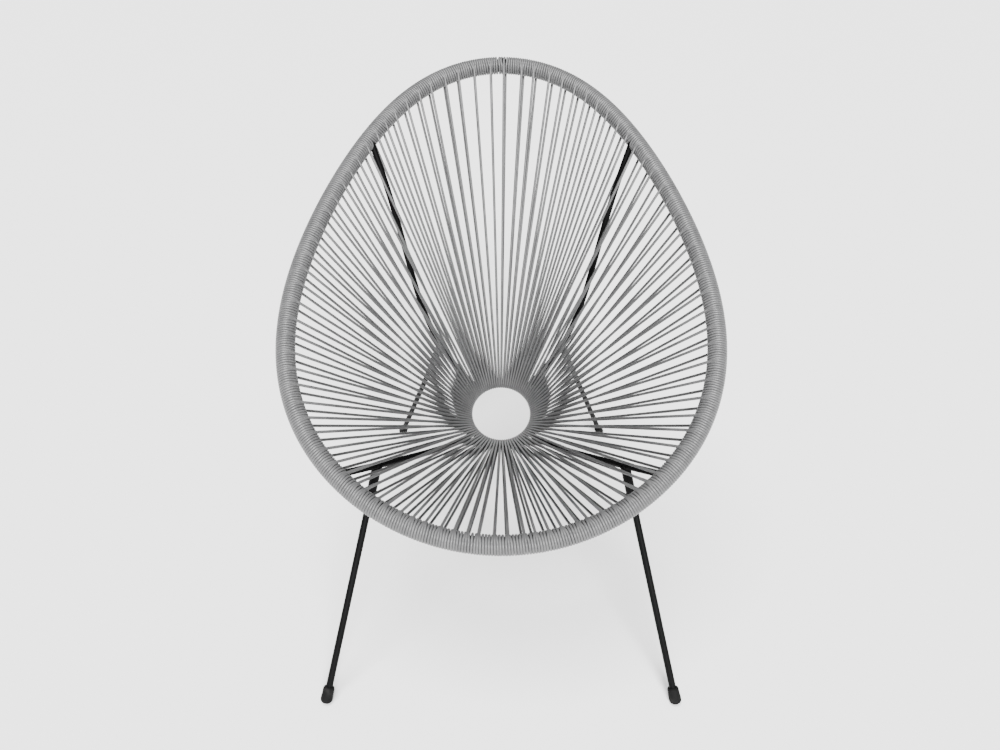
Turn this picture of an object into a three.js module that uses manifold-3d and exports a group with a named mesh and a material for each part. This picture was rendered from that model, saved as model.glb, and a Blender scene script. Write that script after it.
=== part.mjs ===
import * as THREE from 'three';
import { mergeVertices } from 'three/addons/utils/BufferGeometryUtils.js';
import Module from 'manifold-3d';

// Lounge chair: an egg-shaped steel hoop wound with cord, a bucket seat of taut cord strands
// between the hoop and a small centre ring, four curved spokes below it, and four straight legs.
// Millimetres, +Z up, front of the chair towards -Y. The model is laid out from the line between
// the front feet, and moved at the end so that its origin is the middle of its footprint.

const wasm = await Module();
wasm.setup();

// Hoop: centreline outline, tilt and place
const hoopLength = 901;
const hoopSpan = 693;
const hoopOutlineShares = [-0.1446, 0.0158, 0.0276];
const hoopSlopeDegrees = 35.75;
const hoopFrontHeight = 342;
const hoopFrontSetback = 30;
const hoopTubeDiameter = 23;
const hoopSides = 8;
const pairsPerStation = 2;

// Centre ring
const ringDiameter = 135;
const ringSlopeDegrees = 30;
const ringHeight = 275;
const ringSetbackShare = 0.496;
const ringSides = 8;
const ringSegments = 36;

// Rods: the ring, the spokes and the legs are bent or cut from one stock
const rodDiameter = 11.5;
const rodSides = 8;
const clearance = 0.3;

// Spokes: where they meet the hoop, as shares of its perimeter from the top, and the ring
const upperJointShare = 0.1235;
const lowerJointShare = 0.3905;
const upperRingDegrees = 41.5;
const lowerRingDegrees = 125;
const upperBendShares = [[0.756, 0, 0.212], [0.569, 0, 0.477]];
const lowerBendShares = [[0.065, 0, -0.166], [0.713, 0.055, 0.577]];
const spokeSteps = 12;

// Legs, their sockets and foot caps
const frontFootSpread = 586;
const rearFootSpread = 505;
const wheelbase = 741;
const frontLegShare = 0.72;
const rearLegShare = 0.226;
const socketDiameter = 16;
const socketLength = 60;
const socketBoreDepth = 32;
const capDiameter = 20.4;
const capTopDiameter = 19;
const capLength = 28;
const capShoulderRadius = 4;
const capBaseRadius = 6;
const capBoreDepth = 20;
const soleDepth = 1;
const legSides = 10;
const capSides = 12;
const cornerSteps = 2;

// Cord: its strands, the winding on the hoop, and the pairs of strands in each stretch
const cordDiameter = 3.5;
const cordSides = 5;
const windingThickness = 4;
const grooveDepth = 0.9;
const ribsPerPair = 1;
const crestShare = 0.28;
const grooveShare = 0.78;
const loopSteps = 3;
const rootDegrees = 30;
const jointGap = 4;
const passages = { top: 3, upperSide: 10, lowerSide: 2.5, bottom: 9.3 };
const pairsPerSector = { topRight: [6, 5], right: [7, 7, 7], bottom: [7, 6, 6, 7], left: [7, 8, 7], topLeft: [5, 5] };

const black = new THREE.MeshStandardMaterial({ color: 0x121212, roughness: 0.45, metalness: 0.3 });
const rubber = new THREE.MeshStandardMaterial({ color: 0x0d0d0d, roughness: 0.7, metalness: 0 });
const greyCord = new THREE.MeshStandardMaterial({ color: 0x8c8c8c, roughness: 0.5, metalness: 0 });

const up = new THREE.Vector3(0, 0, 1);
const acrossX = new THREE.Vector3(1, 0, 0);
const radians = THREE.MathUtils.degToRad;
const turn = 2 * Math.PI;

// Solids and geometry

function weld(geometry) {
  const bare = geometry.clone();
  for (const name of Object.keys(bare.attributes)) {
    if (name !== 'position') bare.deleteAttribute(name);
  }
  const welded = mergeVertices(bare);
  const kept = [];
  const index = welded.index.array;
  for (let i = 0; i < index.length; i += 3) {
    const [a, b, c] = [index[i], index[i + 1], index[i + 2]];
    if (a !== b && b !== c && a !== c) kept.push(a, b, c);
  }
  welded.setIndex(kept);
  return welded;
}

function toSolid(geometry) {
  const welded = weld(geometry);
  return new wasm.Manifold(new wasm.Mesh({
    numProp: 3,
    vertProperties: new Float32Array(welded.attributes.position.array),
    triVerts: new Uint32Array(welded.index.array),
  }));
}

function toGeometry(solid) {
  const mesh = solid.getMesh();
  const geometry = new THREE.BufferGeometry();
  geometry.setAttribute('position', new THREE.BufferAttribute(mesh.vertProperties, 3));
  geometry.setIndex(new THREE.BufferAttribute(mesh.triVerts, 1));
  return geometry;
}

// Joins rings of as many points each into one closed skin. A closed loft ends where it starts,
// an open one gets a flat cap at either end. Its faces are turned to point out.
function loft(rings, closed) {
  const sides = rings[0].length;
  const points = rings.flat();
  const index = [];
  const spans = closed ? rings.length : rings.length - 1;
  for (let i = 0; i < spans; i += 1) {
    const here = i * sides;
    const there = ((i + 1) % rings.length) * sides;
    for (let j = 0; j < sides; j += 1) {
      const k = (j + 1) % sides;
      index.push(here + j, there + j, there + k, here + j, there + k, here + k);
    }
  }
  if (!closed) {
    const last = (rings.length - 1) * sides;
    for (let j = 1; j < sides - 1; j += 1) {
      index.push(0, j, j + 1, last, last + j + 1, last + j);
    }
  }
  let volume = 0;
  for (let i = 0; i < index.length; i += 3) {
    const [a, b, c] = [points[index[i]], points[index[i + 1]], points[index[i + 2]]];
    volume += a.dot(b.clone().cross(c));
  }
  if (volume < 0) index.reverse();
  const geometry = new THREE.BufferGeometry().setFromPoints(points);
  geometry.setIndex(index);
  return geometry;
}

function circleShape(radius, sides) {
  const corners = [];
  for (let i = 0; i < sides; i += 1) {
    const angle = (turn * i) / sides;
    corners.push(new THREE.Vector2(radius * Math.cos(angle), radius * Math.sin(angle)));
  }
  return new THREE.Shape(corners);
}

function rodAlong(path, radius, sides, steps) {
  return new THREE.ExtrudeGeometry(circleShape(radius, sides), { steps, extrudePath: path });
}

// Turns a geometry made along +Z so that it starts at a point and runs along a leaning direction,
// with its X axis level
function placeAlong(geometry, start, direction) {
  const level = direction.clone().cross(up).normalize();
  const axes = new THREE.Matrix4().makeBasis(level, direction.clone().cross(level), direction);
  return geometry.applyMatrix4(axes).translate(start.x, start.y, start.z);
}

// Hoop

const hoopSlope = radians(hoopSlopeDegrees);
const hoopNormal = new THREE.Vector3(0, -Math.sin(hoopSlope), Math.cos(hoopSlope));

// Closed egg outline in its tilted plane, from the top centre round by the right side
class HoopCurve extends THREE.Curve {
  getPoint(t, target = new THREE.Vector3()) {
    const angle = turn * t;
    const swell = hoopOutlineShares.reduce((total, share, i) => total + share * Math.cos((i + 1) * angle), 1);
    const across = (hoopSpan / 2) * Math.sin(angle) * swell;
    const along = (hoopLength / 2) * (1 + Math.cos(angle));
    return target.set(
      across,
      hoopFrontSetback + along * Math.cos(hoopSlope),
      hoopFrontHeight + along * Math.sin(hoopSlope),
    );
  }
}

const hoop = new HoopCurve();
hoop.arcLengthDivisions = 1440;
const perimeter = hoop.getLength();

// A place on the hoop by its share of the perimeter: point, tangent and outward direction
function hoopPlace(share) {
  const wrapped = share - Math.floor(share);
  const point = hoop.getPointAt(wrapped);
  const tangent = hoop.getTangentAt(wrapped);
  const outward = hoopNormal.clone().cross(tangent).normalize();
  return { point, tangent, outward };
}

function hoopRing(share, radius) {
  const { point, outward } = hoopPlace(share);
  const ring = [];
  for (let i = 0; i < hoopSides; i += 1) {
    const angle = (turn * (i + 0.5)) / hoopSides;
    const offset = outward.clone().multiplyScalar(radius * Math.cos(angle));
    offset.addScaledVector(hoopNormal, radius * Math.sin(angle));
    ring.push(point.clone().add(offset));
  }
  return ring;
}

// Stretches of the hoop between spoke joints, each with its sectors of pairs. The top stretch is
// parted at the winding's start, beside the middle pair.
const sum = (values) => values.reduce((total, value) => total + value, 0);
const topPairs = sum([...pairsPerSector.topLeft, ...pairsPerSector.topRight]);
const windingStart = upperJointShare * ((2 * sum(pairsPerSector.topLeft)) / topPairs - 1);
const stretches = [
  { name: 'top_right', from: windingStart, to: upperJointShare, counts: pairsPerSector.topRight },
  { name: 'right', from: upperJointShare, to: lowerJointShare, counts: pairsPerSector.right },
  { name: 'bottom', from: lowerJointShare, to: 1 - lowerJointShare, counts: pairsPerSector.bottom },
  { name: 'left', from: 1 - lowerJointShare, to: 1 - upperJointShare, counts: pairsPerSector.left },
  { name: 'top_left', from: 1 - upperJointShare, to: 1 + windingStart, counts: pairsPerSector.topLeft },
];

const sectors = [];
for (const { name, from, to, counts } of stretches) {
  const start = from + jointGap / 2 / perimeter;
  const pitch = (to - from - jointGap / perimeter) / sum(counts);
  counts.forEach((count, i) => {
    const first = sum(counts.slice(0, i));
    sectors.push({
      name: `seat_cord_${name}_${i + 1}`,
      stretch: name,
      pitch,
      count,
      from: start + first * pitch,
      to: start + (first + count) * pitch,
    });
  });
}

// Stations of the hoop tube along a sector, which the winding's bore shares
function stationShares(sector) {
  const spans = Math.ceil(sector.count / pairsPerStation);
  const shares = [];
  for (let i = 0; i <= spans; i += 1) shares.push(THREE.MathUtils.lerp(sector.from, sector.to, i / spans));
  return shares;
}

// Neighbouring sectors share a station, unless a joint's gap lies between them
function hoopGeometry(extra) {
  const radius = hoopTubeDiameter / 2 + extra;
  const shares = sectors.flatMap((sector, i) => {
    const own = stationShares(sector);
    const next = sectors[(i + 1) % sectors.length];
    return next.stretch === sector.stretch ? own.slice(0, -1) : own;
  });
  return loft(shares.map((share) => hoopRing(share, radius)), true);
}

// Centre ring

const ringSlope = radians(ringSlopeDegrees);
const ringSetback = hoopLength * ringSetbackShare;
const ringCentre = new THREE.Vector3(0, ringSetback, ringHeight);
const ringBack = new THREE.Vector3(0, Math.cos(ringSlope), Math.sin(ringSlope));
const ringNormal = new THREE.Vector3(0, -Math.sin(ringSlope), Math.cos(ringSlope));

// A place on the ring by its angle from the back, towards the right
function ringPlace(angle) {
  const outward = acrossX.clone().multiplyScalar(Math.sin(angle)).addScaledVector(ringBack, Math.cos(angle));
  const tangent = acrossX.clone().multiplyScalar(Math.cos(angle)).addScaledVector(ringBack, -Math.sin(angle));
  const point = ringCentre.clone().addScaledVector(outward, ringDiameter / 2);
  return { point, tangent };
}

function ringGeometry(extra, sides) {
  const torus = new THREE.TorusGeometry(ringDiameter / 2, rodDiameter / 2 + extra, sides, ringSegments);
  const axes = new THREE.Matrix4().makeBasis(acrossX, ringBack, ringNormal);
  return torus.applyMatrix4(axes).translate(ringCentre.x, ringCentre.y, ringCentre.z);
}

// Spokes: each bend is given by its shares of the run in plan, of the same run squarely outwards to
// the chair's side, and of the rise

function spokeCurve(side, jointShare, ringDegrees, bendShares) {
  const start = ringPlace(radians(side * ringDegrees)).point;
  const end = hoopPlace(side * jointShare).point;
  const run = end.clone().sub(start).setZ(0);
  const sideways = new THREE.Vector3(side * Math.abs(run.y), Math.abs(run.x), 0);
  const bend = ([runShare, sideShare, riseShare]) => start.clone()
    .addScaledVector(run, runShare)
    .addScaledVector(sideways, sideShare)
    .addScaledVector(up, riseShare * (end.z - start.z));
  return new THREE.CubicBezierCurve3(start, bend(bendShares[0]), bend(bendShares[1]), end);
}

const corners = [];
for (const [sideName, side] of [['right', 1], ['left', -1]]) {
  corners.push({
    spoke: `spoke_upper_${sideName}`,
    place: `rear_${sideName}`,
    curve: spokeCurve(side, upperJointShare, upperRingDegrees, upperBendShares),
    legShare: rearLegShare,
    foot: new THREE.Vector3((side * rearFootSpread) / 2, wheelbase, 0),
  });
  corners.push({
    spoke: `spoke_lower_${sideName}`,
    place: `front_${sideName}`,
    curve: spokeCurve(side, lowerJointShare, lowerRingDegrees, lowerBendShares),
    legShare: frontLegShare,
    foot: new THREE.Vector3((side * frontFootSpread) / 2, 0, 0),
  });
}

function spokeGeometry(corner, extra) {
  return rodAlong(corner.curve, rodDiameter / 2 + extra, rodSides, spokeSteps);
}

const ringCutter = toSolid(ringGeometry(2 * clearance, 2 * ringSides));
const hoopCutter = toSolid(hoopGeometry(2 * clearance));

function spokeSolid(corner) {
  return toSolid(spokeGeometry(corner, 0)).subtract(ringCutter).subtract(hoopCutter);
}

// Legs: the socket hangs from the spoke, the leg fills its bore, the cap closes the foot

// Height of the cap's base centre above the floor, so that its sole is cut by soleDepth
function baseHeight(tilt) {
  const flatRadius = capDiameter / 2 - capBaseRadius;
  return capBaseRadius * (1 - Math.cos(tilt)) + flatRadius * Math.sin(tilt) - soleDepth;
}

function legLine(corner) {
  const top = corner.curve.getPointAt(corner.legShare);
  const tilt = top.clone().sub(corner.foot).angleTo(up);
  const base = corner.foot.clone().setZ(baseHeight(tilt));
  const direction = top.clone().sub(base).normalize();
  return { top, base, direction, length: top.distanceTo(base) };
}

function lathe(profile, sides) {
  return new THREE.LatheGeometry(profile, sides).rotateX(Math.PI / 2);
}

// The upright socket is bored from its lower end, which is the start of its axis
function socketProfile() {
  const outer = socketDiameter / 2;
  const bore = rodDiameter / 2 + clearance;
  return [
    new THREE.Vector2(0, socketBoreDepth),
    new THREE.Vector2(bore, socketBoreDepth),
    new THREE.Vector2(bore, 0),
    new THREE.Vector2(outer, 0),
    new THREE.Vector2(outer, socketLength),
    new THREE.Vector2(0, socketLength),
  ];
}

// Quarter round of the cap's profile about a centre, between two angles
function quarterRound(centreRadius, centreHeight, radius, from, to) {
  const points = [];
  for (let i = 0; i <= cornerSteps; i += 1) {
    const angle = THREE.MathUtils.lerp(from, to, i / cornerSteps);
    points.push(new THREE.Vector2(centreRadius + radius * Math.cos(angle), centreHeight + radius * Math.sin(angle)));
  }
  return points;
}

function capProfile() {
  const bore = rodDiameter / 2 + clearance;
  const boreFloor = capLength - capBoreDepth;
  return [
    new THREE.Vector2(0, 0),
    ...quarterRound(capDiameter / 2 - capBaseRadius, capBaseRadius, capBaseRadius, -Math.PI / 2, 0),
    ...quarterRound(capTopDiameter / 2 - capShoulderRadius, capLength - capShoulderRadius, capShoulderRadius, 0, Math.PI / 2),
    new THREE.Vector2(bore, capLength),
    new THREE.Vector2(bore, boreFloor),
    new THREE.Vector2(0, boreFloor),
  ];
}

function socketSolid(corner, line) {
  const start = line.top.clone().addScaledVector(line.direction, -socketLength);
  const socket = toSolid(placeAlong(lathe(socketProfile(), legSides), start, line.direction));
  return socket.subtract(toSolid(spokeGeometry(corner, clearance)));
}

function legGeometry(line) {
  const bottom = capLength - capBoreDepth + clearance;
  const top = line.length - socketLength + socketBoreDepth - clearance;
  const rod = lathe([
    new THREE.Vector2(0, bottom),
    new THREE.Vector2(rodDiameter / 2, bottom),
    new THREE.Vector2(rodDiameter / 2, top),
    new THREE.Vector2(0, top),
  ], legSides);
  return placeAlong(rod, line.base, line.direction);
}

function capSolid(line) {
  const cap = toSolid(placeAlong(lathe(capProfile(), capSides), line.base, line.direction));
  const block = new THREE.BoxGeometry(2 * capLength, 2 * capLength, capLength);
  return cap.subtract(toSolid(block.translate(line.base.x, line.base.y, -capLength / 2)));
}

// Cord

const cordRadius = cordDiameter / 2;
const windingRadius = hoopTubeDiameter / 2 + windingThickness;
const boreRadius = hoopTubeDiameter / 2 + clearance;
const rootRadius = windingRadius - cordRadius;
const loopRadius = (rodDiameter / 2 + clearance + cordRadius) / Math.cos(Math.PI / (2 * loopSteps));

// Winding of one sector: ribs round the hoop outside, and a bore that follows the tube
function windingGeometry(sector) {
  const start = sector.from + clearance / 2 / perimeter;
  const end = sector.to - clearance / 2 / perimeter;
  const outer = [hoopRing(start, windingRadius - grooveDepth)];
  const ribs = sector.count * ribsPerPair;
  for (let i = 0; i < ribs; i += 1) {
    outer.push(hoopRing(THREE.MathUtils.lerp(start, end, (i + crestShare) / ribs), windingRadius));
    outer.push(hoopRing(THREE.MathUtils.lerp(start, end, (i + grooveShare) / ribs), windingRadius - grooveDepth));
  }
  outer.push(hoopRing(end, windingRadius - grooveDepth));
  const bore = stationShares(sector).map((share) => hoopRing(THREE.MathUtils.clamp(share, start, end), boreRadius));
  return loft([...outer, ...bore.reverse()], true);
}

// Angles on the ring of every pair. Above, the loops are evenly spaced between two spokes; below,
// they close up to let the spokes through.
const upperAngle = radians(upperRingDegrees);
const lowerAngle = radians(lowerRingDegrees);
const ringStops = {
  top: { from: -upperAngle, to: upperAngle, passage: passages.top, nextPassage: passages.top },
  right: { from: upperAngle, to: lowerAngle, passage: passages.upperSide, nextPassage: passages.lowerSide },
  bottom: { from: lowerAngle, to: turn - lowerAngle, passage: passages.bottom, nextPassage: passages.bottom },
  left: { from: turn - lowerAngle, to: turn - upperAngle, passage: passages.lowerSide, nextPassage: passages.upperSide },
};

function ringAngles(stop, share) {
  const { from, to, passage, nextPassage } = ringStops[stop];
  const above = THREE.MathUtils.lerp(from, to, share);
  const radius = ringDiameter / 2;
  const below = THREE.MathUtils.lerp(from + passage / radius, to - nextPassage / radius, share);
  return { above, below };
}

// Upward side of a straight strand, square to it and to the hoop or ring that it meets
function strandSide(direction, tangent, normal) {
  const side = direction.clone().cross(tangent).normalize();
  return side.dot(normal) < 0 ? side.negate() : side;
}

// Centreline of a pair: root in the winding, over the ring, round its inner side, and back below
function pairRoute(share, angles) {
  const { point, tangent } = hoopPlace(share);
  const route = [];
  const root = (direction, sign) => {
    const side = strandSide(direction, tangent, hoopNormal);
    const inward = direction.clone().addScaledVector(tangent, -direction.dot(tangent)).normalize();
    const rest = side.multiplyScalar(sign * Math.cos(radians(rootDegrees)));
    return point.clone().addScaledVector(rest.addScaledVector(inward, Math.sin(radians(rootDegrees))), rootRadius);
  };
  const directionTo = (angle) => ringPlace(angle).point.sub(point).normalize();
  route.push(root(directionTo(angles.above), 1));
  for (let i = 0; i <= loopSteps; i += 1) {
    const shift = Math.max(0, (2 * i) / loopSteps - 1);
    const place = ringPlace(THREE.MathUtils.lerp(angles.above, angles.below, shift));
    const direction = place.point.clone().sub(point).normalize();
    const side = strandSide(direction, place.tangent, ringNormal);
    const inward = direction.addScaledVector(place.tangent, -direction.dot(place.tangent)).normalize();
    const wrap = (Math.PI * i) / loopSteps;
    const offset = side.multiplyScalar(loopRadius * Math.cos(wrap));
    route.push(place.point.add(offset).addScaledVector(inward, loopRadius * Math.sin(wrap)));
  }
  route.push(root(directionTo(angles.below), -1));
  return { route, across: ringPlace(angles.above).tangent };
}

// Cord tube along straight stretches, mitred where they meet
function cordTube({ route, across }) {
  const rings = route.map((point, i) => {
    const before = point.clone().sub(route[Math.max(i - 1, 0)]).normalize();
    const after = route[Math.min(i + 1, route.length - 1)].clone().sub(point).normalize();
    const along = before.clone().add(after).normalize();
    const wide = across.clone().addScaledVector(along, -across.dot(along)).normalize();
    const deep = along.clone().cross(wide);
    const ends = i === 0 || i === route.length - 1;
    const mitre = ends ? 1 : 1 / Math.cos(before.angleTo(after) / 2);
    const ring = [];
    for (let j = 0; j < cordSides; j += 1) {
      const angle = (turn * j) / cordSides;
      const corner = point.clone().addScaledVector(deep, cordRadius * mitre * Math.cos(angle));
      ring.push(corner.addScaledVector(wide, cordRadius * Math.sin(angle)));
    }
    return ring;
  });
  return loft(rings, false);
}

// The pairs of the whole seat, in order round the hoop, with their places on the ring
const pairs = [];
for (const [stop, names] of Object.entries({
  top: ['top_left', 'top_right'], right: ['right'], bottom: ['bottom'], left: ['left'],
})) {
  const own = names.flatMap((name) => sectors.filter((sector) => sector.stretch === name));
  const total = sum(own.map((sector) => sector.count));
  let order = 0;
  for (const sector of own) {
    for (let i = 0; i < sector.count; i += 1) {
      const share = sector.from + (i + 0.5) * sector.pitch;
      pairs.push({ sector, route: pairRoute(share, ringAngles(stop, (order + 0.5) / total)) });
      order += 1;
    }
  }
}

const spokeCutters = corners.map((corner) => toSolid(spokeGeometry(corner, clearance)));

function cordSolid(sector) {
  let solid = toSolid(windingGeometry(sector));
  for (const pair of pairs) {
    if (pair.sector === sector) solid = solid.add(toSolid(cordTube(pair.route)));
  }
  for (const cutter of spokeCutters) solid = solid.subtract(cutter);
  return solid;
}

// Least space between neighbouring cords on the ring's inner side, measured on their centrelines
function leastLoopGap() {
  let least = Infinity;
  pairs.forEach((pair, i) => {
    const next = pairs[(i + 1) % pairs.length];
    for (const a of pair.route.route.slice(1, -1)) {
      for (const b of next.route.route.slice(1, -1)) least = Math.min(least, a.distanceTo(b));
    }
  });
  return least - cordDiameter;
}

// Assembly

const chair = new THREE.Group();

function addMesh(name, geometry, material) {
  const welded = weld(geometry);
  welded.computeVertexNormals();
  const mesh = new THREE.Mesh(welded, material);
  mesh.name = name;
  chair.add(mesh);
}

addMesh('rim_tube', hoopGeometry(0), black);
addMesh('centre_ring', ringGeometry(0, ringSides), black);
for (const corner of corners) {
  const line = legLine(corner);
  addMesh(corner.spoke, toGeometry(spokeSolid(corner)), black);
  addMesh(`leg_socket_${corner.place}`, toGeometry(socketSolid(corner, line)), black);
  addMesh(`leg_${corner.place}`, legGeometry(line), black);
  addMesh(`foot_cap_${corner.place}`, toGeometry(capSolid(line)), rubber);
}
for (const sector of sectors) addMesh(sector.name, toGeometry(cordSolid(sector)), greyCord);

console.log(`hoop perimeter ${perimeter.toFixed(1)} mm, ${pairs.length} pairs of strands`);
console.log(`least gap between neighbouring loops on the ring ${leastLoopGap().toFixed(2)} mm`);

// Origin at the middle of the footprint, on the floor
const extent = new THREE.Box3().setFromObject(chair);
const middle = extent.getCenter(new THREE.Vector3());
chair.position.set(-middle.x, -middle.y, -extent.min.z);
chair.updateMatrixWorld(true);

export default chair;
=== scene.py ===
import math

import bmesh
import bpy
import numpy as np
from mathutils.kdtree import KDTree
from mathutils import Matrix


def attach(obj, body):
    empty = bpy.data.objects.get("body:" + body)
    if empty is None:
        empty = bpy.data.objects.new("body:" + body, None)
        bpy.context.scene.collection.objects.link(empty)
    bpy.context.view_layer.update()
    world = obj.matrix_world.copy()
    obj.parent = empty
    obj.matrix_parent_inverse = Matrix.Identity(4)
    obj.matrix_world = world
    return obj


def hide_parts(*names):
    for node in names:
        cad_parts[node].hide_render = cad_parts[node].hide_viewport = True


# An acapulco chair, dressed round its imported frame. Metres, +Z up, front towards -Y.

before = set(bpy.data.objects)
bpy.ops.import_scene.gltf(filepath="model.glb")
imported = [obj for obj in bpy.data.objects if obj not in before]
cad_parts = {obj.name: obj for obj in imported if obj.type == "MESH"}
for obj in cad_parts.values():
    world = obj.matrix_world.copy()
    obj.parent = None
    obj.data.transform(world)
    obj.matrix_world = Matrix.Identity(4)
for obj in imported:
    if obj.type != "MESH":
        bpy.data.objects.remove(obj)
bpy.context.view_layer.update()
print("frame loaded:", len(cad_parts), "nodes")

fullTurn = 2 * math.pi

# camera, floor and light

cameraView = dict(place=(0.0, -1.0714, 1.0991), pitchDown=32.9, turnLeft=0.12, lens=25.2, sensor=36.0,
                  nearClip=0.05, farClip=200)
studio = dict(floorSize=120.0, floorColor=(0.9, 0.9, 0.9, 1), floorRoughness=0.9,
              skyColor=(1.0, 1.0, 1.0, 1), skyStrength=0.6)
lamps = dict(
    overhead=dict(tilt=(10, -8), spread=30, strength=5.2),
    front=dict(tilt=(60, 14), spread=25, strength=9.6),
)


def addObject(name, data):
    added = bpy.data.objects.new(name, data)
    bpy.context.scene.collection.objects.link(added)
    return added


def makeCamera():
    data = bpy.data.cameras.new("photoCamera")
    data.sensor_width = cameraView["sensor"]
    data.lens = cameraView["lens"]
    data.clip_start = cameraView["nearClip"]
    data.clip_end = cameraView["farClip"]
    camera = addObject("photoCamera", data)
    camera.location = cameraView["place"]
    pitch = math.radians(90 - cameraView["pitchDown"])
    camera.rotation_euler = (pitch, 0, math.radians(cameraView["turnLeft"]))
    bpy.context.scene.camera = camera


# A soft lamp far away, which lights the floor evenly; tilt is forwards and sideways from straight above
def makeLamp(name, tilt, spread, strength):
    data = bpy.data.lights.new(name, "SUN")
    data.angle = math.radians(spread)
    data.energy = strength
    lamp = addObject(name, data)
    lamp.rotation_euler = (math.radians(tilt[0]), math.radians(tilt[1]), 0)


# What a node gives out; where that is a number, it takes part in arithmetic
class Level:
    def __init__(self, maker, socket):
        self.maker = maker
        self.socket = socket

    def maths(self, operation, first, second):
        return self.maker.node("ShaderNodeMath", dict(operation=operation), {0: first, 1: second})

    def __add__(self, other):
        return self.maths("ADD", self, other)

    def __sub__(self, other):
        return self.maths("SUBTRACT", self, other)

    def __rsub__(self, other):
        return self.maths("SUBTRACT", other, self)

    def __mul__(self, other):
        return self.maths("MULTIPLY", self, other)

    __radd__ = __add__
    __rmul__ = __mul__


# One maker for the nodes of materials, of the world and of geometry trees
class NodeMaker:
    def __init__(self, tree):
        self.tree = tree

    def node(self, kind, settings=None, inputs=None, output=0):
        made = self.tree.nodes.new(kind)
        for name, value in (settings or {}).items():
            if name == "stops":
                self.setStops(made.color_ramp, value)
            else:
                setattr(made, name, value)
        for name, value in (inputs or {}).items():
            if isinstance(value, Level):
                self.tree.links.new(value.socket, made.inputs[name])
            else:
                made.inputs[name].default_value = value
        return Level(self, made.outputs[output]) if len(made.outputs) else None

    def setStops(self, ramp, stops):
        while len(ramp.elements) < len(stops):
            ramp.elements.new(1.0)
        for element, (place, level) in zip(ramp.elements, stops):
            element.position = place
            element.color = (level, level, level, 1)


def newMaterial(name):
    material = bpy.data.materials.new(name)
    material.use_nodes = True
    material.node_tree.nodes.clear()
    return material, NodeMaker(material.node_tree)


def finishMaterial(maker, shaderInputs):
    shader = maker.node("ShaderNodeBsdfPrincipled", {}, shaderInputs)
    maker.node("ShaderNodeOutputMaterial", {}, {"Surface": shader})


def objectPlace(maker):
    return maker.node("ShaderNodeTexCoord", output="Object")


def grain(maker, place, scale, detail, roughness=0.5):
    inputs = {"Vector": place, "Scale": scale, "Detail": detail, "Roughness": roughness}
    return maker.node("ShaderNodeTexNoise", {}, inputs, "Fac")


def ramp(maker, level, start, end):
    return maker.node("ShaderNodeValToRGB", dict(stops=[(start, 0.0), (end, 1.0)]), {0: level})


def blendLevels(first, second, share):
    return first * (1 - share) + second * share


# The Mix node's colours are its sockets 6 and 7, and come out at 2
def blendColors(maker, share, first, second, way="MIX"):
    return maker.node("ShaderNodeMix", dict(data_type="RGBA", blend_type=way),
                      {0: share, 6: first, 7: second}, 2)


def bumped(maker, height, strength, depth):
    return maker.node("ShaderNodeBump", {}, {"Height": height, "Strength": strength, "Distance": depth})


# The hoop stands in a sloping plane, which the painted shade on its cord follows too
hoop = dict(length=0.901, span=0.693, outlineShares=(-0.1446, 0.0158, 0.0276), slope=35.75,
            frontHeight=0.342, frontSetback=-0.35487, tubeRadius=0.0115, sides=32, points=400,
            samples=7200)

hoopSlope = math.radians(hoop["slope"])
hoopNormal = np.array([0.0, -math.sin(hoopSlope), math.cos(hoopSlope)])

cordFinish = dict(
    pale=(0.088, 0.088, 0.089, 1), dull=(0.056, 0.056, 0.057, 1), paleFrom=0.35, paleTo=0.65,
    dust=(0.14, 0.138, 0.134, 1), dustFrom=0.52, dustTo=0.72, dustShare=0.3, dustRoughness=0.12,
    # Painted shade: the cord's colour is multiplied by this grey, fading in between two depths in metres
    # below the hoop's plane
    deep=(0.6, 0.6, 0.6, 1), paintedShadeFrom=0.012, paintedShadeTo=0.04,  # metres below the hoop's plane
    mottle=dict(scale=34, detail=4.0, roughness=0.6), patches=dict(scale=9, detail=5.0, roughness=0.7),
    draw=dict(scale=420, detail=2.0), pimples=dict(scale=1700, detail=1.0), drawShare=0.4, pimpleShare=0.3,
    roughness=0.4, roughnessSpread=0.22, bumpStrength=0.6, bumpDepth=0.00016,
)
coatFinish = dict(
    pale=(0.0034, 0.0034, 0.0036, 1), dull=(0.0012, 0.0012, 0.0013, 1), specularLevel=0.05,
    patches=dict(scale=22, detail=3.0), peel=dict(scale=620, detail=2.0),
    scuffs=dict(scale=130, detail=4.0, roughness=0.7), scuffFrom=0.58, scuffTo=0.7, scuffShare=0.4,
    scuffDepth=0.3, scuffRoughness=0.12,
    roughness=0.52, roughnessSpread=0.2, bumpStrength=0.6, bumpDepth=0.00012,
)
rubberFinish = dict(
    pale=(0.007, 0.007, 0.007, 1), dull=(0.0025, 0.0025, 0.0025, 1), specularLevel=0.06,
    dust=(0.035, 0.034, 0.032, 1), dustFrom=0.5, dustTo=0.75, dustShare=0.4,
    patches=dict(scale=60, detail=4.0), fine=dict(scale=1100, detail=2.0), fineShare=0.3,
    roughness=0.7, roughnessSpread=0.2, bumpStrength=0.7, bumpDepth=0.0002,
)
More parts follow.
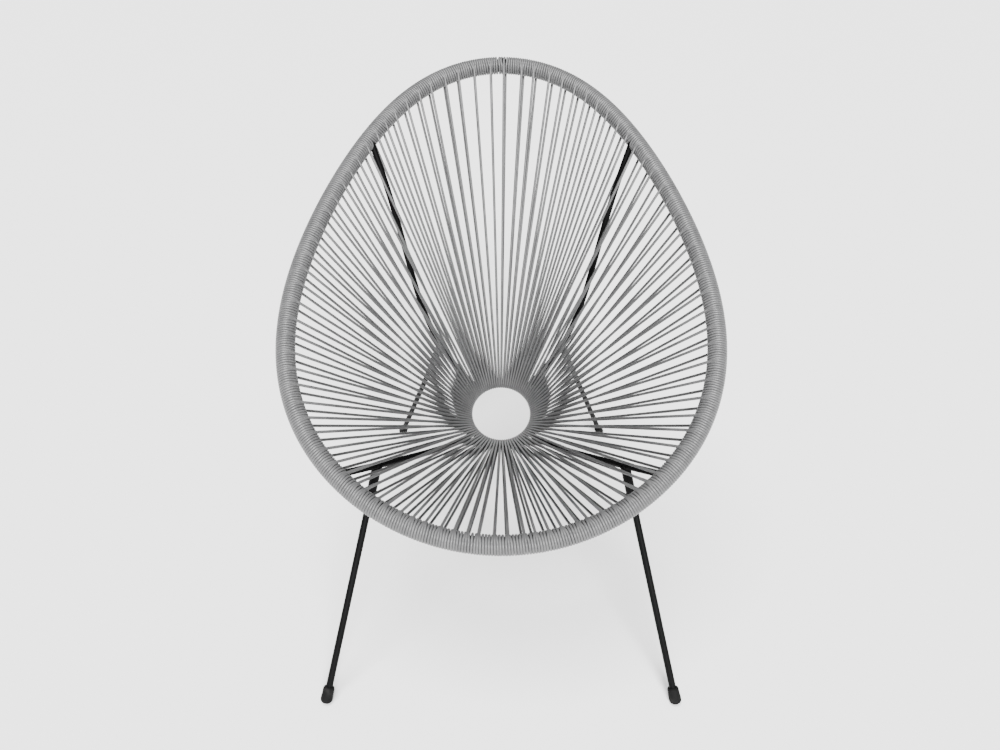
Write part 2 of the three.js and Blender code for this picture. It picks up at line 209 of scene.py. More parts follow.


# Vinyl cord: mottled, with a drawn and pimpled skin and some dust, and with painted shade that darkens its
# colour below the hoop's plane
def makeCordPlastic():
    look = cordFinish
    material, maker = newMaterial("greyCordPlastic")
    place = objectPlace(maker)
    mottle, patches, draw, pimples = (grain(maker, place, **look[name])
                                      for name in ("mottle", "patches", "draw", "pimples"))
    dust = ramp(maker, blendLevels(patches, draw, look["drawShare"]), look["dustFrom"], look["dustTo"])
    paleness = ramp(maker, blendLevels(mottle, draw, look["drawShare"]), look["paleFrom"], look["paleTo"])
    tone = blendColors(maker, paleness, look["dull"], look["pale"])
    tone = blendColors(maker, dust * look["dustShare"], tone, look["dust"])
    # Painted shade: the cord's base colour is darkened below the hoop's plane, where its lower strands lie
    # in shade
    planeHeight = float(hoopNormal @ np.array([0.0, hoop["frontSetback"], hoop["frontHeight"]]))
    height = maker.node("ShaderNodeVectorMath", dict(operation="DOT_PRODUCT"),
                        {0: place, 1: tuple(hoopNormal)}, "Value")
    paintedShadeShare = ramp(maker, planeHeight - height, look["paintedShadeFrom"], look["paintedShadeTo"])
    skin = blendLevels(draw, pimples, look["pimpleShare"])
    finishMaterial(maker, {
        "Base Color": blendColors(maker, paintedShadeShare, tone, look["deep"], "MULTIPLY"),
        "Roughness": (look["roughness"] + look["roughnessSpread"] * (draw - 0.5)
                      + look["dustRoughness"] * dust),
        "Normal": bumped(maker, skin, look["bumpStrength"], look["bumpDepth"]),
    })
    return material


# Powder coat: orange peel, slow patches of sheen and a few matt scuffs
def makeBlackCoat():
    look = coatFinish
    material, maker = newMaterial("blackPowderCoat")
    place = objectPlace(maker)
    patches, peel, scuffs = (grain(maker, place, **look[name]) for name in ("patches", "peel", "scuffs"))
    scuffs = ramp(maker, scuffs, look["scuffFrom"], look["scuffTo"])
    paleness = blendLevels(patches, scuffs, look["scuffShare"])
    skin = peel - scuffs * look["scuffDepth"]
    finishMaterial(maker, {
        "Base Color": blendColors(maker, paleness, look["dull"], look["pale"]),
        "Roughness": (look["roughness"] + look["roughnessSpread"] * (peel - 0.5)
                      + look["scuffRoughness"] * scuffs),
        "Specular IOR Level": look["specularLevel"],
        "Normal": bumped(maker, skin, look["bumpStrength"], look["bumpDepth"]),
    })
    return material


# Cap rubber: fine moulded grain, greyed by dust
def makeCapRubber():
    look = rubberFinish
    material, maker = newMaterial("blackCapRubber")
    place = objectPlace(maker)
    patches, fine = (grain(maker, place, **look[name]) for name in ("patches", "fine"))
    dust = ramp(maker, blendLevels(patches, fine, look["fineShare"]), look["dustFrom"], look["dustTo"])
    tone = blendColors(maker, patches, look["dull"], look["pale"])
    finishMaterial(maker, {
        "Base Color": blendColors(maker, dust * look["dustShare"], tone, look["dust"]),
        "Roughness": look["roughness"] + look["roughnessSpread"] * (fine - 0.5),
        "Specular IOR Level": look["specularLevel"],
        "Normal": bumped(maker, fine, look["bumpStrength"], look["bumpDepth"]),
    })
    return material


def makeStage():
    material, maker = newMaterial("paleFloor")
    finishMaterial(maker, {"Base Color": studio["floorColor"], "Roughness": studio["floorRoughness"]})
    half = studio["floorSize"] / 2
    corners = [(-half, -half, 0), (half, -half, 0), (half, half, 0), (-half, half, 0)]
    mesh = bpy.data.meshes.new("floor")
    mesh.from_pydata(corners, [], [(0, 1, 2, 3)])
    mesh.materials.append(material)
    floor = addObject("floor", mesh)
    world = bpy.data.worlds.new("paleStudio")
    world.use_nodes = True
    world.node_tree.nodes.clear()
    maker = NodeMaker(world.node_tree)
    sky = maker.node("ShaderNodeBackground", {},
                     {"Color": studio["skyColor"], "Strength": studio["skyStrength"]})
    maker.node("ShaderNodeOutputWorld", {}, {"Surface": sky})
    bpy.context.scene.world = world
    for name, lamp in lamps.items():
        makeLamp(name, **lamp)


makeCamera()
makeStage()
cordPlastic = makeCordPlastic()
blackCoat = makeBlackCoat()
capRubber = makeCapRubber()
print("camera, floor, light and materials made")


# A geometry tree that takes in a path, some sizes by name and a material
def newTree(name, sizes):
    tree = bpy.data.node_groups.new(name, "GeometryNodeTree")
    given = [("Geometry", "Geometry"), *sizes, ("Material", "Material")]
    for label, kind in given:
        tree.interface.new_socket(label, in_out="INPUT", socket_type=f"NodeSocket{kind}")
    tree.interface.new_socket("Geometry", in_out="OUTPUT", socket_type="NodeSocketGeometry")
    maker = NodeMaker(tree)
    start = tree.nodes.new("NodeGroupInput")
    return tree, maker, {label: Level(maker, start.outputs[label]) for label, _ in given}


def endTree(maker, shape, material):
    smooth = maker.node("GeometryNodeSetShadeSmooth", {}, {"Geometry": shape})
    real = maker.node("GeometryNodeRealizeInstances", {}, {"Geometry": smooth})
    coated = maker.node("GeometryNodeSetMaterial", {}, {"Geometry": real, "Material": material})
    maker.node("NodeGroupOutput", {}, {0: coated})


# A round rod swept along a path, thicker or thinner by the path's own swell
def makeSweepTree():
    tree, maker, given = newTree("sweptRod", [("Rod Radius", "Float"), ("Sides", "Int")])
    path = maker.node("GeometryNodeMeshToCurve", {}, {"Mesh": given["Geometry"]})
    swell = maker.node("GeometryNodeInputNamedAttribute", dict(data_type="FLOAT"), {"Name": "swell"})
    section = maker.node("GeometryNodeCurvePrimitiveCircle", {},
                         {"Resolution": given["Sides"], "Radius": given["Rod Radius"]})
    rod = maker.node("GeometryNodeCurveToMesh", {},
                     {"Curve": path, "Profile Curve": section, "Scale": swell, "Fill Caps": True})
    endTree(maker, rod, given["Material"])
    return tree


# A weld bead along a path, with an uneven surface: noise about its middle lifts it or sinks it
def makeBeadTree():
    tree, maker, given = newTree("weldBead", [("Bead Radius", "Float"), ("Sides", "Int"),
                                              ("Ripple", "Float"), ("Ripple Scale", "Float")])
    path = maker.node("GeometryNodeMeshToCurve", {}, {"Mesh": given["Geometry"]})
    section = maker.node("GeometryNodeCurvePrimitiveCircle", {},
                         {"Resolution": given["Sides"], "Radius": given["Bead Radius"]})
    bead = maker.node("GeometryNodeCurveToMesh", {},
                      {"Curve": path, "Profile Curve": section, "Fill Caps": True})
    noise = maker.node("ShaderNodeTexNoise", {}, {"Scale": given["Ripple Scale"], "Detail": 1.0}, "Fac")
    lift = (noise - 0.5) * given["Ripple"] * 2.0
    outward = maker.node("GeometryNodeInputNormal")
    offset = maker.node("ShaderNodeVectorMath", dict(operation="SCALE"), {0: outward, "Scale": lift})
    rippled = maker.node("GeometryNodeSetPosition", {}, {"Geometry": bead, "Offset": offset})
    endTree(maker, rippled, given["Material"])
    return tree


sweepTree = makeSweepTree()
beadTree = makeBeadTree()
print("geometry trees made")


# A path for a tree to sweep along; swells scale the rod's radius at each point
def pathMesh(name, points, closed=False, swells=None):
    count = len(points)
    edges = [(i, i + 1) for i in range(count - 1)] + ([(count - 1, 0)] if closed else [])
    mesh = bpy.data.meshes.new(name)
    mesh.from_pydata([tuple(p) for p in points], edges, [])
    mesh.attributes.new("swell", "FLOAT", "POINT").data.foreach_set("value", swells or [1.0] * count)
    return mesh


# Runs a tree on a path and returns the plain mesh that it gives
def grow(tree, source, material, sizes):
    carrier = addObject("carrier", source)
    modifier = carrier.modifiers.new("shape", "NODES")
    modifier.node_group = tree
    inputs = [item for item in tree.interface.items_tree if item.in_out == "INPUT"]
    identifiers = {item.name: item.identifier for item in inputs}
    for label, value in {**sizes, "Material": material}.items():
        modifier[identifiers[label]] = value
    bpy.context.view_layer.update()
    evaluated = carrier.evaluated_get(bpy.context.evaluated_depsgraph_get())
    mesh = bpy.data.meshes.new_from_object(evaluated)
    carrier.modifiers.remove(modifier)
    bpy.data.objects.remove(carrier)
    bpy.data.meshes.remove(source)
    return mesh


def sweepRod(path, material, radius, sides):
    return grow(sweepTree, path, material, {"Rod Radius": radius, "Sides": sides})


# Joins meshes into one finished piece that stands for some CAD nodes
def finishPiece(name, meshes, material, nodes):
    shape = bmesh.new()
    for mesh in meshes:
        shape.from_mesh(mesh)
    joined = bpy.data.meshes.new(name)
    shape.to_mesh(joined)
    shape.free()
    joined.materials.clear()
    joined.materials.append(material)
    for face in joined.polygons:
        face.material_index = 0
    piece = addObject(name, joined)
    for mesh in meshes:
        bpy.data.meshes.remove(mesh)
    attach(piece, "root")
    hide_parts(*nodes)


def unit(vectors):
    return vectors / np.linalg.norm(vectors, axis=-1, keepdims=True)


# How far along a path each of its points lies
def pathRun(points):
    return np.concatenate([[0], np.cumsum(np.linalg.norm(np.diff(points, axis=0), axis=1))])


# Points or directions at some distances along a path, from those at its own points
def atDistances(distances, run, rows):
    return np.stack([np.interp(distances, run, rows[:, k]) for k in range(3)], axis=-1)


# The hoop's egg-shaped outline, which everything else is placed from
def outlinePoints(angles):
    swell = 1 + sum(share * np.cos((i + 1) * angles) for i, share in enumerate(hoop["outlineShares"]))
    across = hoop["span"] / 2 * np.sin(angles) * swell
    along = hoop["length"] / 2 * (1 + np.cos(angles))
    return np.stack([across, hoop["frontSetback"] + along * math.cos(hoopSlope),
                     hoop["frontHeight"] + along * math.sin(hoopSlope)], axis=-1)


samplePoints = outlinePoints(np.linspace(0, fullTurn, hoop["samples"] + 1))
sampleRun = pathRun(samplePoints)
hoopPerimeter = sampleRun[-1]
sampleTangents = unit(np.roll(samplePoints[:-1], -1, axis=0) - np.roll(samplePoints[:-1], 1, axis=0))
sampleTangents = np.vstack([sampleTangents, sampleTangents[:1]])


# Points, tangents and outward directions at shares of the perimeter from the top centre
def hoopAt(shares):
    distances = np.mod(np.atleast_1d(shares), 1.0) * hoopPerimeter
    points = atDistances(distances, sampleRun, samplePoints)
    tangents = unit(atDistances(distances, sampleRun, sampleTangents))
    return points, tangents, unit(np.cross(hoopNormal, tangents))


def makeHoopTube():
    points, _, _ = hoopAt(np.arange(hoop["points"]) / hoop["points"])
    mesh = sweepRod(pathMesh("hoopPath", points, closed=True), blackCoat, hoop["tubeRadius"],
                    hoop["sides"])
    finishPiece("hoopTube", [mesh], blackCoat, ["rim_tube"])


# The ring in the middle of the seat
ring = dict(radius=0.0675, rodRadius=0.00575, slope=30.0, height=0.275, setback=0.06203, points=144,
            sides=24)

ringSlope = math.radians(ring["slope"])
ringCentre = np.array([0.0, ring["setback"], ring["height"]])
ringBack = np.array([0.0, math.cos(ringSlope), math.sin(ringSlope)])
ringNormal = np.array([0.0, -math.sin(ringSlope), math.cos(ringSlope)])
acrossX = np.array([1.0, 0.0, 0.0])


# A point of the ring's middle line and its tangent; the angle runs from the back by the right
def ringAt(angle):
    outward = math.sin(angle) * acrossX + math.cos(angle) * ringBack
    tangent = math.cos(angle) * acrossX - math.sin(angle) * ringBack
    return ringCentre + ring["radius"] * outward, tangent


ringPoints = np.array([ringAt(fullTurn * i / ring["points"])[0] for i in range(ring["points"])])


def makeRing():
    mesh = sweepRod(pathMesh("ringPath", ringPoints, closed=True), blackCoat, ring["rodRadius"],
                    ring["sides"])
    finishPiece("centreRing", [mesh], blackCoat, ["centre_ring"])


# Spokes, each a bent rod from the ring to the hoop, with a weld bead at the ring. A bend's three numbers
# are shares of the spoke's run, of the same turned outwards, and of its rise.
spoke = dict(rodRadius=0.00575, steps=72, curveSteps=288, sides=24, beadRadius=0.0016, beadPoints=56)
spokeEnds = dict(
    upper=dict(jointShare=0.1235, ringAngle=41.5, bends=((0.756, 0.0, 0.212), (0.569, 0.0, 0.477))),
    lower=dict(jointShare=0.3905, ringAngle=125.0, bends=((0.065, 0.0, -0.166), (0.713, 0.055, 0.577))),
)
weld = dict(sides=10, ripple=0.0005, rippleScale=450.0, reach=0.03, reachSteps=240, pathSteps=8)


def spokePath(level, side):
    ends = spokeEnds[level]
    start = ringAt(math.radians(side * ends["ringAngle"]))[0]
    end = hoopAt(side * ends["jointShare"])[0][0]
    run = np.array([end[0] - start[0], end[1] - start[1], 0.0])
    sideways = np.array([side * abs(run[1]), abs(run[0]), 0.0])
    rise = np.array([0.0, 0.0, end[2] - start[2]])
    first, second = (start + run * a + sideways * b + rise * c for a, b, c in ends["bends"])
    t = np.linspace(0, 1, spoke["curveSteps"] + 1)[:, None]
    curve = ((1 - t) ** 3 * start + 3 * (1 - t) ** 2 * t * first
             + 3 * (1 - t) * t ** 2 * second + t ** 3 * end)
    curveRun = pathRun(curve)
    return atDistances(np.linspace(0, curveRun[-1], spoke["steps"] + 1), curveRun, curve)


# Two directions that are square to a given one and to each other
def squareTo(direction, nearlyAlong=0.8):
    first = unit(np.cross(direction, acrossX if abs(direction[0]) < nearlyAlong else hoopNormal))
    return first, np.cross(direction, first)


# Points on a circle that stands square to a direction
def circlePoints(centre, direction, radius, count):
    first, second = squareTo(direction)
    angles = fullTurn * np.arange(count) / count
    return centre + radius * (np.cos(angles)[:, None] * first + np.sin(angles)[:, None] * second)


# Distances along a tube's surface lines at which they come out of another rod
def exitDistances(start, direction, radius, otherPath, otherRadius, count):
    steps = np.linspace(0, weld["reach"], weld["reachSteps"] + 1)
    strides = otherPath[1:] - otherPath[:-1]
    fine = np.vstack([otherPath[:-1] + strides * k / weld["pathSteps"] for k in range(weld["pathSteps"])])
    distances = []
    for point in circlePoints(start, direction, radius, count):
        line = point + steps[:, None] * direction
        gaps = np.linalg.norm(line[:, None, :] - fine[None, :, :], axis=2).min(axis=1)
        inside = np.nonzero(gaps < otherRadius)[0]
        distances.append(steps[min(inside[-1] + 1, weld["reachSteps"])] if len(inside) else 0.0)
    return np.array(distances)


# A bead round a tube, which crosses each of its surface lines at a distance along it
def weldBead(start, direction, radius, distances, beadRadius):
    points = circlePoints(start, direction, radius, len(distances)) + distances[:, None] * direction
    return grow(beadTree, pathMesh("beadPath", points, closed=True), blackCoat,
                {"Bead Radius": beadRadius, "Sides": weld["sides"], "Ripple": weld["ripple"],
                 "Ripple Scale": weld["rippleScale"]})


def makeSpoke(level, side, sideName):
    path = spokePath(level, side)
    rod = sweepRod(pathMesh("spokePath", path), blackCoat, spoke["rodRadius"], spoke["sides"])
    start, direction = path[0], unit(path[2] - path[0])
    closedRing = np.vstack([ringPoints, ringPoints[:1]])
    distances = exitDistances(start, direction, spoke["rodRadius"], closedRing, ring["rodRadius"],
                              spoke["beadPoints"])
    bead = weldBead(start, direction, spoke["rodRadius"], distances, spoke["beadRadius"])
    name = f"{level}Spoke{sideName.capitalize()}"
    finishPiece(name, [rod, bead], blackCoat, [f"spoke_{level}_{sideName}"])
    return path


# Legs, each a straight rod in a socket under a spoke, with a rubber cap
leg = dict(rodRadius=0.00575, sides=24, steps=12, inSocket=0.030, overBore=0.001)
legEnds = dict(
    upper=dict(end="rear", spokeShare=0.226, foot=(0.2525, 0.35613)),
    lower=dict(end="front", spokeShare=0.72, foot=(0.293, -0.38487)),
)
socket = dict(radius=0.008, bore=0.0060, boreDepth=0.02, length=0.060, chamfer=0.0009, sides=48,
              notchBand=0.002, notchGap=0.0002, hubShare=0.55, hubGap=0.0001, beadRadius=0.0013,
              beadGap=0.0004)
cap = dict(radius=0.0102, topRadius=0.0095, length=0.028, base=0.006, bore=0.0059, boreDepth=0.018,
           soleDepth=0.001, soleMiddle=0.0004, lip=0.0007, skirtRise=0.004, skirtInset=0.15, neckShare=0.6,
           neckSwell=0.2, shoulder=0.004, shoulderTurn=80, sides=48, cornerSteps=6)


# A closed mesh from rings, each with its radius and its distance along the axis, or one for each side
def turnedMesh(name, rings, sides, start, direction):
    shape = bmesh.new()
    rows = []
    for radius, distance in rings:
        reach = np.broadcast_to(distance, sides)[:, None] * direction
        points = circlePoints(start, direction, radius, sides) + reach
        rows.append([shape.verts.new(point) for point in points])
    for lower, upper in zip(rows, rows[1:]):
        for i in range(sides):
            j = (i + 1) % sides
            shape.faces.new((lower[i], lower[j], upper[j], upper[i]))
    shape.faces.new(rows[0][::-1])
    shape.faces.new(rows[-1])
    bmesh.ops.recalc_face_normals(shape, faces=shape.faces)
    for face in shape.faces:
        face.smooth = len(face.verts) == 4
    mesh = bpy.data.meshes.new(name)
    shape.to_mesh(mesh)
    shape.free()
    return mesh


# A leg's line: its top on the spoke, and the middle of its cap's end, raised so that the tilted cap stands
# on the floor with its sole cut flat
def legLine(path, level, side):
    across, along = legEnds[level]["foot"]
    pathLength = pathRun(path)
    top = atDistances(legEnds[level]["spokeShare"] * pathLength[-1], pathLength, path)
    ground = np.array([side * across, along, 0.0])
    tilt = math.acos(unit(top - ground)[2])
    rise = (cap["base"] * (1 - math.cos(tilt)) + (cap["radius"] - cap["base"]) * math.sin(tilt)
            - cap["soleDepth"])
    return top, ground + np.array([0.0, 0.0, rise])


# A socket, open and chamfered at its mouth, with its upper end cut to the spoke and a bead round the cut
def makeSocket(name, node, top, direction, path):
    down = -direction
    radius, bore, mouth, chamfer = (socket[size] for size in ("radius", "bore", "length", "chamfer"))
    cut = exitDistances(top, down, radius, path, spoke["rodRadius"], socket["sides"])
    rings = [
        (bore, mouth - socket["boreDepth"]),
        (bore, mouth),
        (radius - chamfer, mouth),
        (radius, mouth - chamfer),
        (radius, cut + socket["notchBand"]),
        (radius, cut + socket["notchGap"]),
        (radius * socket["hubShare"], cut + socket["hubGap"]),
    ]
    body = turnedMesh("socketBody", rings, socket["sides"], top, down)
    bead = weldBead(top, down, radius, cut + socket["beadGap"], socket["beadRadius"])
    finishPiece(name, [body, bead], blackCoat, [node])


def roundedCorner(centreRadius, centreHeight, radius, start, end):
    angles = np.radians(np.linspace(start, end, cap["cornerSteps"] + 1))
    return [(centreRadius + radius * math.cos(a), centreHeight + radius * math.sin(a)) for a in angles]


# A cap, turned from the middle of its sole up over its shoulder and down into its bore
def makeCap(name, node, base, direction):
    radius, topRadius, length, corner, shoulder, bore, lip = (
        cap[size] for size in ("radius", "topRadius", "length", "base", "shoulder", "bore", "lip"))
    rings = [
        (cap["soleMiddle"], 0.0),
        *roundedCorner(radius - corner, corner, corner, -90, 0),
        (radius - lip * cap["skirtInset"], corner + cap["skirtRise"]),
        (topRadius + lip * cap["neckSwell"], length * cap["neckShare"]),
        *roundedCorner(topRadius - shoulder, length - shoulder, shoulder, 0, cap["shoulderTurn"]),
        (bore + lip, length),
        (bore, length - lip),
        (bore, length - cap["boreDepth"]),
    ]
    mesh = turnedMesh("capBody", rings, cap["sides"], base, direction)
    for vertex in mesh.vertices:  # the sole stands flat on the floor
        vertex.co.z = max(vertex.co.z, 0.0)
    finishPiece(name, [mesh], capRubber, [node])


def makeLeg(path, level, side, sideName):
    end = legEnds[level]["end"]
    title = end.capitalize() + sideName.capitalize()
    top, base = legLine(path, level, side)
    direction = unit(top - base)
    low = base + direction * (cap["length"] - cap["boreDepth"] + leg["overBore"])
    high = top - direction * (socket["length"] - leg["inSocket"])
    points = [low + (high - low) * k / leg["steps"] for k in range(leg["steps"] + 1)]
    rod = sweepRod(pathMesh("legPath", points), blackCoat, leg["rodRadius"], leg["sides"])
    finishPiece(f"leg{title}", [rod], blackCoat, [f"leg_{end}_{sideName}"])
    makeSocket(f"socket{title}", f"leg_socket_{end}_{sideName}", top, direction, path)
    makeCap(f"footCap{title}", f"foot_cap_{end}_{sideName}", base, direction)


makeHoopTube()
makeRing()
for sideName, side in (("right", 1), ("left", -1)):
    for level in ("upper", "lower"):
        path = makeSpoke(level, side, sideName)
        makeLeg(path, level, side, sideName)
print("hoop, ring, spokes, sockets, legs and caps made")

# One length of cord, wound round the hoop and strung to the ring and back at every station. A phase is an
# angle round the hoop's tube: 0 faces outwards, 90 degrees up. The dictionary has phases, the slot and
# firstReach in degrees.
cord = dict(
    radius=0.0021, sides=12, seed=8,
    windingRadius=0.0136, turnPitch=0.00411, turnPoints=24, splitPhase=270,
    lean=0.0060, leanTurns=26,  # of the turns beside a spoke
    wander=0.0001, wanderTurns=(17.3, 7.1, 3.9), wanderEase=3, wanderStart=1000,  # of the winder's hand
    stationSpread=0.7,  # turns that a pair may stray from its even place
    slotMiddle=191, slotReach=98, slotEase=50,  # where turns close up behind a pair
    strandSwell=1.12, swellFrom=0.0137, swellReach=0.005, strandPoints=(0.009, 0.014),
    leaveGuess=0.28, arriveGuess=0.78, guessRounds=4,  # where strands may be tangent to a turn, in turns
    leaveGap=0.12,  # radians of a turn without points, beside its strands
    loopPoints=10, crossFrom=0.35, crossEase=1.5,  # round the ring
    sharpTurn=20, bendReach=0.0035, bendShare=0.45, bendSteps=4,  # of corners
    start=-0.0027, startGap=0.0002, firstPhase=290, lastPhase=240,  # the ends, left of the top centre
    firstLean=0.0040, firstTurns=4.5, firstEase=2.5, firstReach=110,  # of the first turns, over the start
)
passages = dict(top=0.003, upperSide=0.010, lowerSide=0.0025, bottom=0.0093)  # beside spokes, at the ring
pairCounts = dict(top_right=(6, 5), right=(7, 7, 7), bottom=(7, 6, 6, 7), left=(7, 8, 7), top_left=(5, 5))

chance = np.random.default_rng(cord["seed"])


# Where a spoke comes through the winding, as a share of the perimeter and a phase
def spokeCrossing(level):
    path = spokePath(level, 1)
    inward = unit(path[-3] - path[-1])
    joint = spokeEnds[level]["jointShare"]
    _, tangents, outwards = hoopAt(joint)
    along = inward @ tangents[0]
    share = joint + cord["windingRadius"] * along / math.sqrt(1 - along ** 2) / hoopPerimeter
    return share, math.atan2(inward @ hoopNormal, inward @ outwards[0])


upperShare, upperPhase = spokeCrossing("upper")
lowerShare, lowerPhase = spokeCrossing("lower")
pairTotals = {name: sum(counts) for name, counts in pairCounts.items()}
topTotal = pairTotals["top_left"] + pairTotals["top_right"]
halfGap = cord["startGap"] / 2 / hoopPerimeter
upperAngle = math.radians(spokeEnds["upper"]["ringAngle"])
lowerAngle = math.radians(spokeEnds["lower"]["ringAngle"])

# Each stretch: where it runs on the hoop, the phases of the spokes that its first and last turns go round,
# where it runs on the ring, its passages there, and the pairs before it and in all
stretches = [
    dict(name="top_right", start=cord["start"] + halfGap, end=upperShare, phases=(None, upperPhase),
         ring=(-upperAngle, upperAngle), passage=("top", "top"), before=pairTotals["top_left"],
         whole=topTotal),
    dict(name="right", start=upperShare, end=lowerShare, phases=(upperPhase, lowerPhase),
         ring=(upperAngle, lowerAngle), passage=("upperSide", "lowerSide"), before=0,
         whole=pairTotals["right"]),
    dict(name="bottom", start=lowerShare, end=1 - lowerShare, phases=(lowerPhase, lowerPhase),
         ring=(lowerAngle, fullTurn - lowerAngle), passage=("bottom", "bottom"), before=0,
         whole=pairTotals["bottom"]),
    dict(name="left", start=1 - lowerShare, end=1 - upperShare, phases=(lowerPhase, upperPhase),
         ring=(fullTurn - lowerAngle, fullTurn - upperAngle), passage=("lowerSide", "upperSide"), before=0,
         whole=pairTotals["left"]),
    dict(name="top_left", start=1 - upperShare, end=1 + cord["start"] - halfGap, phases=(upperPhase, None),
         ring=(-upperAngle, upperAngle), passage=("top", "top"), before=0, whole=topTotal),
]


def mix(a, b, share):
    return a + (b - a) * share


# A share from 0 to 1 that starts and ends gently
def easeIn(share):
    share = min(1.0, max(0.0, share))
    return share * share * (3 - 2 * share)


# How far a point of a turn is pushed along the hoop: by the hand that wound it, by a neighbour that is off
# at the ring, by the lean of the first turns and by the spokes
def turnShift(stretch, turn, phase):
    wound = stretch["start"] * cord["wanderStart"] + turn + phase / fullTurn
    after = stretch["turns"] - 1 - turn
    ease = min(1.0, turn / cord["wanderEase"], after / cord["wanderEase"])
    waves = sum(math.sin(fullTurn * wound / period) for period in cord["wanderTurns"])
    away = ease * cord["wander"] * waves
    fromSlot = abs(math.degrees(phase) - cord["slotMiddle"])
    closing = easeIn((cord["slotReach"] - fromSlot) / cord["slotEase"])
    away += closing * stretch["spreads"][turn] * cord["turnPitch"]
    if stretch["phases"][0] is None:  # the first turns of the cord lean over to close its start
        fromOutside = min(phase, fullTurn - phase) / math.radians(cord["firstReach"])
        early = easeIn((cord["firstTurns"] - turn) / cord["firstEase"])
        away -= cord["firstLean"] * early * easeIn(fromOutside)
    ends = (stretch["phases"][0], turn, 1), (stretch["phases"][1], after, -1)
    for spokePhase, distance, sign in ends:
        if spokePhase is not None and distance < cord["leanTurns"]:
            near = (1 - distance / cord["leanTurns"]) * max(0.0, math.cos(phase - spokePhase)) ** 2
            away += sign * near * cord["lean"]
    return away


# A point of the winding at a turn of its stretch, with the hoop's tangent and outward direction there
def windingPoint(stretch, turn, phase):
    share = mix(stretch["start"], stretch["end"], (turn + phase / fullTurn) / stretch["turns"])
    points, tangents, outwards = hoopAt(share + turnShift(stretch, turn, phase) / hoopPerimeter)
    around = math.cos(phase) * outwards[0] + math.sin(phase) * hoopNormal
    return points[0] + cord["windingRadius"] * around, tangents[0], outwards[0]


# The direction square to a strand and to a rod, on the side that a normal points to
def squareSide(direction, tangent, normal):
    side = unit(np.cross(direction, tangent))
    return side if side @ normal > 0 else -side


# Where a strand is tangent to the winding and to the ring, above or below, found in a few rounds
def tangentStrand(stretch, turn, angle, above):
    sign = 1 if above else -1
    reach = ring["rodRadius"] + cord["radius"] * cord["strandSwell"]
    ringPoint, ringTangent = ringAt(angle)
    phase = fullTurn * (cord["leaveGuess"] if above else cord["arriveGuess"])
    for _ in range(cord["guessRounds"]):
        start, tangent, outward = windingPoint(stretch, turn, phase)
        direction = unit(ringPoint - start)
        end = ringPoint + sign * reach * squareSide(direction, ringTangent, ringNormal)
        direction = unit(end - start)
        side = sign * squareSide(direction, tangent, hoopNormal)
        phase = math.atan2(side @ hoopNormal, side @ outward) % fullTurn
    start = windingPoint(stretch, turn, phase)[0]
    return phase, start, unit(end - start)


# Half a turn of cord round the ring's rod, from its upper side by its inner side to its under side
def ringLoop(above, below, directionIn, directionOut):
    reach = ring["rodRadius"] + cord["radius"] * cord["strandSwell"]
    points = []
    for i in range(cord["loopPoints"] + 1):
        wrap = i / cord["loopPoints"]
        crossing = max(0.0, (wrap - cord["crossFrom"]) / (1 - cord["crossFrom"])) ** cord["crossEase"]
        place, tangent = ringAt(mix(above, below, crossing))
        direction = unit(mix(directionIn, directionOut, wrap))
        side = squareSide(direction, tangent, ringNormal)
        inward = unit(direction - (direction @ tangent) * tangent)
        angle = math.pi * wrap
        points.append(place + reach * (math.cos(angle) * side + math.sin(angle) * inward))
    return points


# Rounds the sharp corners of a route; its even turns are too blunt to count as corners
def roundCorners(route):
    result = [route[0]]
    for before, corner, after in zip(route, route[1:], route[2:]):
        lengthIn = np.linalg.norm(corner - before)
        lengthOut = np.linalg.norm(after - corner)
        turn = unit(corner - before) @ unit(after - corner)
        if turn > math.cos(math.radians(cord["sharpTurn"])):
            result.append(corner)
            continue
        start = corner + (before - corner) * min(cord["bendShare"], cord["bendReach"] / lengthIn)
        end = corner + (after - corner) * min(cord["bendShare"], cord["bendReach"] / lengthOut)
        for k in range(cord["bendSteps"] + 1):
            t = k / cord["bendSteps"]
            result.append((1 - t) ** 2 * start + 2 * (1 - t) * t * corner + t ** 2 * end)
    result.append(route[-1])
    return result


# The angles at which a pair's upper and lower strands reach the ring; the lower ones leave spokes room
def ringAngles(stretch, order):
    share = (stretch["before"] + order + 0.5) / stretch["whole"]
    start, end = stretch["ring"]
    first, last = (passages[name] / ring["radius"] for name in stretch["passage"])
    return mix(start, end, share), mix(start + first, end - last, share)


# Turns between two stations share the room of the turns that are away, in parts of a turn
def turnSpreads(turns, stations):
    spreads = [0.0] * turns
    bounds = [-1, *sorted(stations), turns]
    for low, high in zip(bounds, bounds[1:]):
        count = high - low - 1
        begin = low + (0.5 if low >= 0 else 1.0)
        end = high + (0.5 if high < turns else 0.0)
        for k in range(count):
            turn = low + 1 + k
            spreads[turn] = begin + (k + 0.5) * (end - begin) / count - turn - 0.5
    return spreads


# The phases of a turn's points; the first and last turns of the cord are cut short
def turnPhases(stretch, turn):
    phases = [fullTurn * k / cord["turnPoints"] for k in range(cord["turnPoints"])]
    if turn == 0 and stretch["phases"][0] is None:
        return [phase for phase in phases if phase >= math.radians(cord["firstPhase"])]
    if turn == stretch["turns"] - 1 and stretch["phases"][1] is None:
        return [phase for phase in phases if phase <= math.radians(cord["lastPhase"])]
    return phases


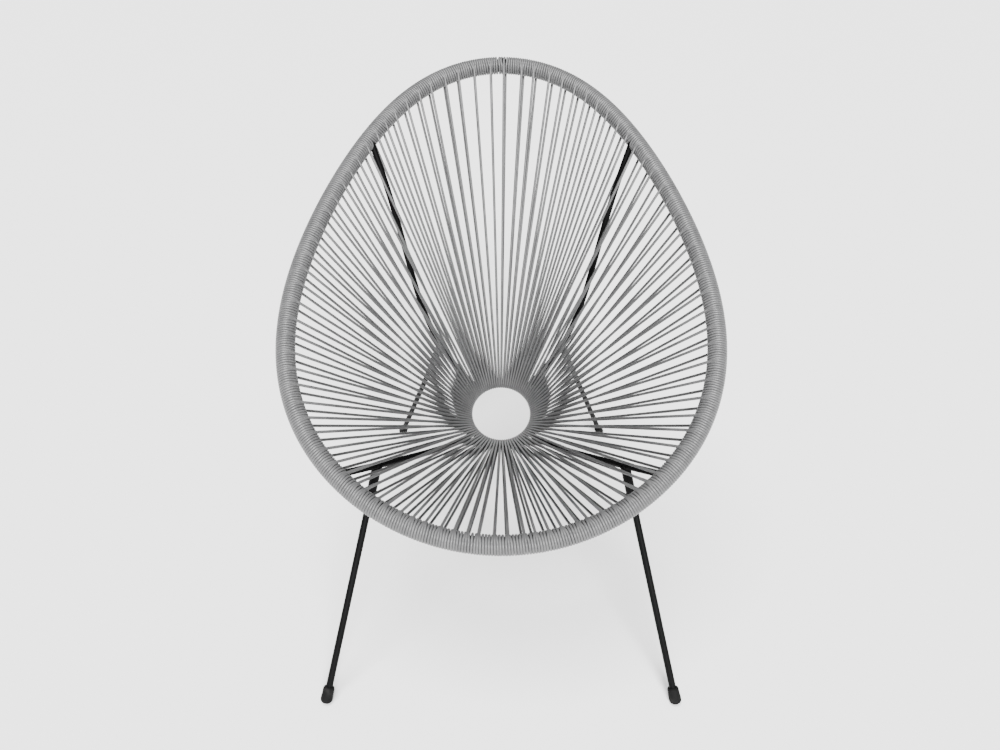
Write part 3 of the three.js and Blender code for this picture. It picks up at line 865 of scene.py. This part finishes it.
# The route of one stretch, split between its sectors under the hoop, where the split can't be seen
def stretchRoutes(stretch):
    counts = pairCounts[stretch["name"]]
    pairs = pairTotals[stretch["name"]]
    turns = round((stretch["end"] - stretch["start"]) * hoopPerimeter / cord["turnPitch"])
    stretch["turns"] = turns
    strayed = chance.uniform(-cord["stationSpread"], cord["stationSpread"], pairs)
    stations = {int((i + 0.5) * turns / pairs + strayed[i]): i for i in range(pairs)}
    stretch["spreads"] = turnSpreads(turns, stations)
    splits = [int(sum(counts[:k]) * turns / pairs) for k in range(1, len(counts))]
    splitPhase = math.radians(cord["splitPhase"])
    near, far = cord["strandPoints"]
    gap = cord["leaveGap"]
    routes, route = [], []
    for turn in range(turns):
        phases = turnPhases(stretch, turn)
        if turn not in stations:
            for phase in phases:
                route.append(windingPoint(stretch, turn, phase)[0])
                if turn in splits and math.isclose(phase, splitPhase):
                    routes.append(route)
                    route = [route[-1]]
            continue
        above, below = ringAngles(stretch, stations[turn])
        leave, start, directionIn = tangentStrand(stretch, turn, above, True)
        arrive, back, directionOut = tangentStrand(stretch, turn, below, False)
        route += [windingPoint(stretch, turn, phase)[0] for phase in phases if phase < leave - gap]
        route += [start, start + directionIn * near, start + directionIn * far]
        route += ringLoop(above, below, directionIn, directionOut)
        route += [back + directionOut * far, back + directionOut * near, back]
        route += [windingPoint(stretch, turn, phase)[0] for phase in phases if phase > arrive + gap]
    routes.append(route)
    return routes


hoopTree = KDTree(len(samplePoints))
for i, point in enumerate(samplePoints):
    hoopTree.insert(point, i)
hoopTree.balance()


# The cord is pressed thinner in the winding than it is in its strands
def cordSwells(route):
    distances = [hoopTree.find(point)[2] for point in route]  # from the hoop's middle line
    shares = [easeIn((distance - cord["swellFrom"]) / cord["swellReach"]) for distance in distances]
    return [mix(1.0, cord["strandSwell"], share) for share in shares]


def makeCord():
    length = 0.0
    sectors = []
    for stretch in stretches:
        routes = stretchRoutes(stretch)
        sectors += [(f"seat_cord_{stretch['name']}_{k + 1}", route) for k, route in enumerate(routes)]
    for k, (node, route) in enumerate(sectors):
        if k + 1 < len(sectors):
            route += sectors[k + 1][1][:2]  # the cord runs on into the next sector
        route = roundCorners(route)
        length += pathRun(route)[-1]
        mesh = sweepRod(pathMesh("cordPath", route, swells=cordSwells(route)), cordPlastic, cord["radius"],
                        cord["sides"])
        name = "cord" + "".join(word.capitalize() for word in node.split("_")[2:])
        finishPiece(name, [mesh], cordPlastic, [node])
    print("cord made:", sum(stretch["turns"] for stretch in stretches), "turns,", round(length, 1), "m")


makeCord()
